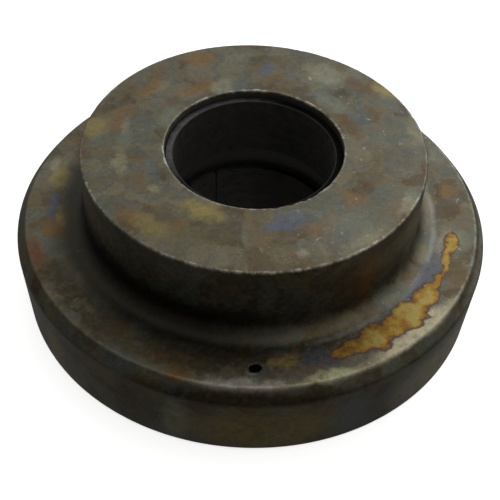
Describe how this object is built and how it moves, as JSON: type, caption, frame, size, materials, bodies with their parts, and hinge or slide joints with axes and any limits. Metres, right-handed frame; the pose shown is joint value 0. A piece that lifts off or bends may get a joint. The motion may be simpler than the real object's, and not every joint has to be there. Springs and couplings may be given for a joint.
{
  "type": "track roller",
  "caption": "Single-flange track roller: a stepped steel ring with a thick drafted flange, a narrower tread and wrapped bushes pressed into its plain through bore.",
  "frame": {"origin": "centre of the flange's outer face, on the bore axis, where the roller rests", "axes": "+Z along the bore axis from the flange towards the tread; X and Y are free, with the hardness-test dimple near -Y"},
  "size_m": [0.1498, 0.1498, 0.054],
  "materials": {
    "heat_tinted_steel": "turned and hardened steel, satin, with straw, brown, purple and blue temper colours",
    "bush_steel": "steel-backed bush with a dark worn-in lining"
  },
  "bodies": {
    "root": {"roller_body": "heat_tinted_steel", "tread_side_bush": "bush_steel", "flange_side_bush": "bush_steel"}
  },
  "joints": []
}
